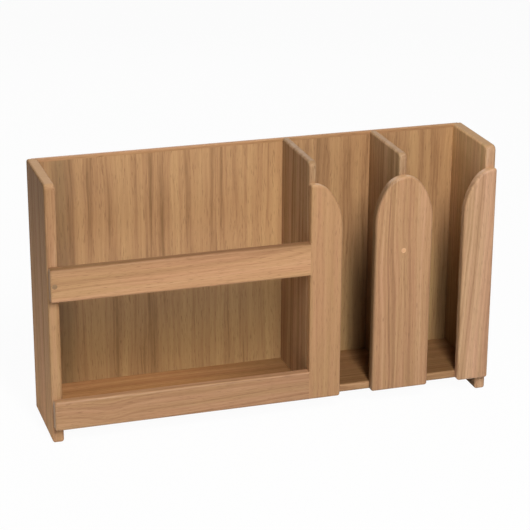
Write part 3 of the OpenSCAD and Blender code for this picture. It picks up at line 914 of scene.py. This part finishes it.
class RACK_OT_back_screws(bpy.types.Operator):
    """Set cross-head countersunk screws in the back"""

    bl_idname = "rack.back_screws"
    bl_label = "Back screws"

    def execute(self, context):
        look = context.scene.rack_screws
        middles, head_radius, length = head_middles("back_screws")
        tree = bpy.data.node_groups.new("countersunk_screws", "GeometryNodeTree")
        tree.interface.new_socket("Geometry", in_out="OUTPUT", socket_type="NodeSocketGeometry")
        tree.interface.new_socket("Geometry", in_out="INPUT", socket_type="NodeSocketGeometry")
        sizes = {
            "Head radius": head_radius,
            "Head height": SCREW_HEAD_HEIGHT,
            "Shank radius": SHANK_RADIUS,
            "Length": length,
            "Recess width": look.recess_width,
            "Recess reach": look.recess_reach,
            "Recess depth": look.recess_depth,
        }
        sockets = {}
        for name, value in sizes.items():
            socket = tree.interface.new_socket(name, in_out="INPUT", socket_type="NodeSocketFloat")
            socket.subtype = "DISTANCE"
            socket.default_value = value
            sockets[name] = socket.identifier
        seed = tree.interface.new_socket("Seed", in_out="INPUT", socket_type="NodeSocketInt")
        seed.default_value = SCREW_SEED
        size = add_node(tree, "NodeGroupInput").outputs

        # One screw along +Z, with the face of its head at 0
        head = add_node(
            tree,
            "GeometryNodeMeshCone",
            {
                "Vertices": SCREW_SIDES,
                "Radius Top": size["Shank radius"],
                "Radius Bottom": size["Head radius"],
                "Depth": size["Head height"],
            },
        )
        point_length = add_node(
            tree, "ShaderNodeMath", {0: size["Shank radius"], 1: POINT_PER_RADIUS}, operation="MULTIPLY"
        ).outputs[0]
        under_head = add_node(
            tree, "ShaderNodeMath", {0: size["Length"], 1: point_length}, operation="SUBTRACT"
        ).outputs[0]
        shank_length = add_node(
            tree, "ShaderNodeMath", {0: under_head, 1: size["Head height"]}, operation="SUBTRACT"
        ).outputs[0]
        # The point, and the shank between it and the head
        rods = []
        for far_radius, rod_length, start in (
            (0.0, point_length, under_head),
            (size["Shank radius"], shank_length, size["Head height"]),
        ):
            rod = add_node(
                tree,
                "GeometryNodeMeshCone",
                {
                    "Vertices": SCREW_SIDES,
                    "Radius Top": far_radius,
                    "Radius Bottom": size["Shank radius"],
                    "Depth": rod_length,
                },
            )
            place = add_node(tree, "ShaderNodeCombineXYZ", {"Z": start})
            moved = add_node(
                tree,
                "GeometryNodeTransform",
                {"Geometry": rod.outputs["Mesh"], "Translation": place.outputs[0]},
            )
            rods.append(moved.outputs[0])

        # The cross is cut by two bars that stand half out of the head
        cut = add_node(
            tree, "GeometryNodeMeshBoolean", {"Mesh 1": head.outputs["Mesh"]}, operation="DIFFERENCE"
        )
        twice_depth = add_node(
            tree, "ShaderNodeMath", {0: size["Recess depth"], 1: 2.0}, operation="MULTIPLY"
        ).outputs[0]
        for across, along in (("Recess reach", "Recess width"), ("Recess width", "Recess reach")):
            bar_size = add_node(
                tree, "ShaderNodeCombineXYZ", {"X": size[across], "Y": size[along], "Z": twice_depth}
            )
            bar = add_node(tree, "GeometryNodeMeshCube", {"Size": bar_size.outputs[0]})
            tree.links.new(bar.outputs["Mesh"], cut.inputs["Mesh 2"])
        screw = add_node(tree, "GeometryNodeJoinGeometry")
        for part in (*rods, cut.outputs["Mesh"]):
            tree.links.new(part, screw.inputs[0])

        # Each screw was driven until it was tight, so its cross lies anyhow
        turn = add_node(
            tree,
            "FunctionNodeRandomValue",
            {"Min": (0.0, 0.0, 0.0), "Max": (0.0, 0.0, math.pi), "Seed": size["Seed"]},
            data_type="FLOAT_VECTOR",
        )
        to_front = add_node(
            tree,
            "FunctionNodeRotateEuler",
            {"Rotation": turn.outputs["Value"], "Rotate By": (math.pi / 2, 0.0, 0.0)},
        )
        placed = add_node(
            tree,
            "GeometryNodeInstanceOnPoints",
            {"Points": size["Geometry"], "Instance": screw.outputs[0], "Rotation": to_front.outputs[0]},
        )
        real = add_node(tree, "GeometryNodeRealizeInstances", {"Geometry": placed.outputs[0]})
        metal = bpy.data.materials.get("turned_brass") or brass(look)
        coated = add_node(tree, "GeometryNodeSetMaterial", {"Geometry": real.outputs[0], "Material": metal})
        add_node(tree, "NodeGroupOutput", {0: coated.outputs[0]})

        points = bpy.data.meshes.new("screw_places")
        points.from_pydata(middles, [], [])
        holder = bpy.data.objects.new("screw_places", points)
        context.scene.collection.objects.link(holder)
        modifier = holder.modifiers.new("screws", "NODES")
        modifier.node_group = tree
        for name, value in sizes.items():
            modifier[sockets[name]] = value
        graph = context.evaluated_depsgraph_get()
        mesh = bpy.data.meshes.new_from_object(holder.evaluated_get(graph))
        screws = bpy.data.objects.new("cross_head_screws", mesh)
        context.scene.collection.objects.link(screws)
        bpy.data.objects.remove(holder)
        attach(screws, "root")
        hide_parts("back_screws")
        return {"FINISHED"}


# Half the width of the studio's floor, how far the lamps stand from the rack
# and how high above the floor they are aimed, in metres.
FLOOR_REACH, LAMP_AWAY, LAMP_AIM = 9.0, 2.2, 0.15


class RACK_OT_stage(bpy.types.Operator):
    """Set the floor, the lamps, the world and the camera"""

    bl_idname = "rack.stage"
    bl_label = "Stage"

    def execute(self, context):
        scene = context.scene
        look = scene.rack_stage

        floor_mesh = bpy.data.meshes.new("studio_floor")
        corners = [(x * FLOOR_REACH, y * FLOOR_REACH, 0) for x, y in ((-1, -1), (1, -1), (1, 1), (-1, 1))]
        floor_mesh.from_pydata(corners, [], [(0, 1, 2, 3)])
        floor = bpy.data.objects.new("studio_floor", floor_mesh)
        scene.collection.objects.link(floor)
        # Matt white paper: even, without a sheen
        paper, tree = new_material("white_studio_paper")
        matt = add_node(tree, "ShaderNodeBsdfDiffuse", {"Color": (*look.floor_tone, 1)})
        seen = self.seen_directly(tree)
        glow = add_node(tree, "ShaderNodeEmission", {"Color": (1, 1, 1, 1), "Strength": 1.0})
        # What the camera sees is mostly white, and the rest keeps the shadow
        share = add_node(tree, "ShaderNodeMath", {0: seen, 1: look.whiteness}, operation="MULTIPLY")
        lift = add_node(
            tree, "ShaderNodeMixShader", {0: share.outputs[0], 1: matt.outputs[0], 2: glow.outputs[0]}
        )
        add_node(tree, "ShaderNodeOutputMaterial", {"Surface": lift.outputs[0]})
        floor_mesh.materials.append(paper)

        world = bpy.data.worlds.new("studio_world")
        scene.world = world
        world.use_nodes = True
        tree = world.node_tree
        tree.nodes.clear()
        seen = self.seen_directly(tree)
        strength = add_node(
            tree, "ShaderNodeMapRange", {"Value": seen, "To Min": look.fill, "To Max": 1.0}
        ).outputs[0]
        sky = add_node(tree, "ShaderNodeBackground", {"Color": (1, 1, 1, 1), "Strength": strength})
        add_node(tree, "ShaderNodeOutputWorld", {"Surface": sky.outputs[0]})

        key_place = {"azimuth": -1.5, "elevation": 41, "roll": 10}
        self.lamp(scene, "key_softbox", look.key_watts, size=(0.25, 1.3), spread=100, **key_place)
        side_place = {"azimuth": -70, "elevation": 20, "roll": 0}
        self.lamp(scene, "side_softbox", look.side_watts, size=(0.7, 0.7), spread=100, **side_place)
        rear_place = {"azimuth": 170, "elevation": 28, "roll": 0}
        self.lamp(scene, "rear_softbox", look.rear_watts, size=(1.2, 0.8), spread=120, **rear_place)

        camera_data = bpy.data.cameras.new("camera")
        camera_data.lens = 125.85
        camera_data.sensor_width = 36
        camera_data.clip_end = 60
        camera = bpy.data.objects.new("camera", camera_data)
        scene.collection.objects.link(camera)
        # It stands at the rack's left, looks down on it and is very slightly rolled
        aim = (
            Matrix.Rotation(math.radians(-17.57), 4, "Z")
            @ Matrix.Rotation(math.radians(90 - 20.34), 4, "X")
            @ Matrix.Rotation(math.radians(0.302), 4, "Z")
        )
        camera.matrix_world = Matrix.Translation((-0.6215, -1.9627, 0.9368)) @ aim
        scene.camera = camera
        scene.view_settings.view_transform = "Standard"
        return {"FINISHED"}

    @staticmethod
    def seen_directly(tree):
        """1 for camera, glossy and transmission rays, so that these see white."""
        path = add_node(tree, "ShaderNodeLightPath")
        either = add_node(
            tree,
            "ShaderNodeMath",
            {0: path.outputs["Is Camera Ray"], 1: path.outputs["Is Glossy Ray"]},
            operation="MAXIMUM",
        )
        seen = add_node(
            tree,
            "ShaderNodeMath",
            {0: either.outputs[0], 1: path.outputs["Is Transmission Ray"]},
            operation="MAXIMUM",
        )
        return seen.outputs[0]

    @staticmethod
    def lamp(scene, name, watts, size, spread, azimuth, elevation, roll):
        """Soft lamp, its size given across and up, aimed at the rack. Azimuth 0
        is in front and 90 at the rack's right, and roll leans the lamp's top to
        the right as seen from the rack."""
        data = bpy.data.lights.new(name, "AREA")
        data.energy = watts
        data.shape = "RECTANGLE"
        data.size, data.size_y = size
        data.spread = math.radians(spread)
        made = bpy.data.objects.new(name, data)
        scene.collection.objects.link(made)
        turn, lift = math.radians(azimuth), math.radians(elevation)
        away = Vector((math.sin(turn) * math.cos(lift), -math.cos(turn) * math.cos(lift), math.sin(lift)))
        lean = Matrix.Rotation(math.radians(roll), 3, "Z")
        made.rotation_euler = (away.to_track_quat("Z", "Y").to_matrix() @ lean).to_euler()
        made.location = Vector((0, 0, LAMP_AIM)) + away * LAMP_AWAY


class RACK_PT_panel(bpy.types.Panel):
    """Finishing steps and settings of the rack"""

    bl_label = "Magazine Rack"
    bl_idname = "RACK_PT_panel"
    bl_space_type = "VIEW_3D"
    bl_region_type = "UI"
    bl_category = "Rack"

    def draw(self, context):
        for step in STEPS:
            self.layout.operator(step.bl_idname)
        for group in SETTINGS:
            box = self.layout.box()
            settings = getattr(context.scene, group)
            for name in settings.bl_rna.properties.keys():
                if name not in {"rna_type", "name"}:
                    box.prop(settings, name)


SETTINGS = {
    "rack_teak": RackTeak,
    "rack_veneer": RackVeneer,
    "rack_screws": RackScrews,
    "rack_stage": RackStage,
}
STEPS = (RACK_OT_boards, RACK_OT_back, RACK_OT_fixings, RACK_OT_back_screws, RACK_OT_stage)
CLASSES = (*SETTINGS.values(), *STEPS, RACK_PT_panel)


def register():
    """Registers the classes and gives the scene their settings."""
    for cls in CLASSES:
        bpy.utils.register_class(cls)
    for name, group in SETTINGS.items():
        setattr(bpy.types.Scene, name, bpy.props.PointerProperty(type=group))


def unregister():
    """Takes the settings and the classes away again."""
    for name in SETTINGS:
        delattr(bpy.types.Scene, name)
    for cls in reversed(CLASSES):
        bpy.utils.unregister_class(cls)


def main():
    """Dresses the rack."""
    register()
    for step in STEPS:
        family, action = step.bl_idname.split(".")
        getattr(getattr(bpy.ops, family), action)()


if __name__ == "__main__":
    main()
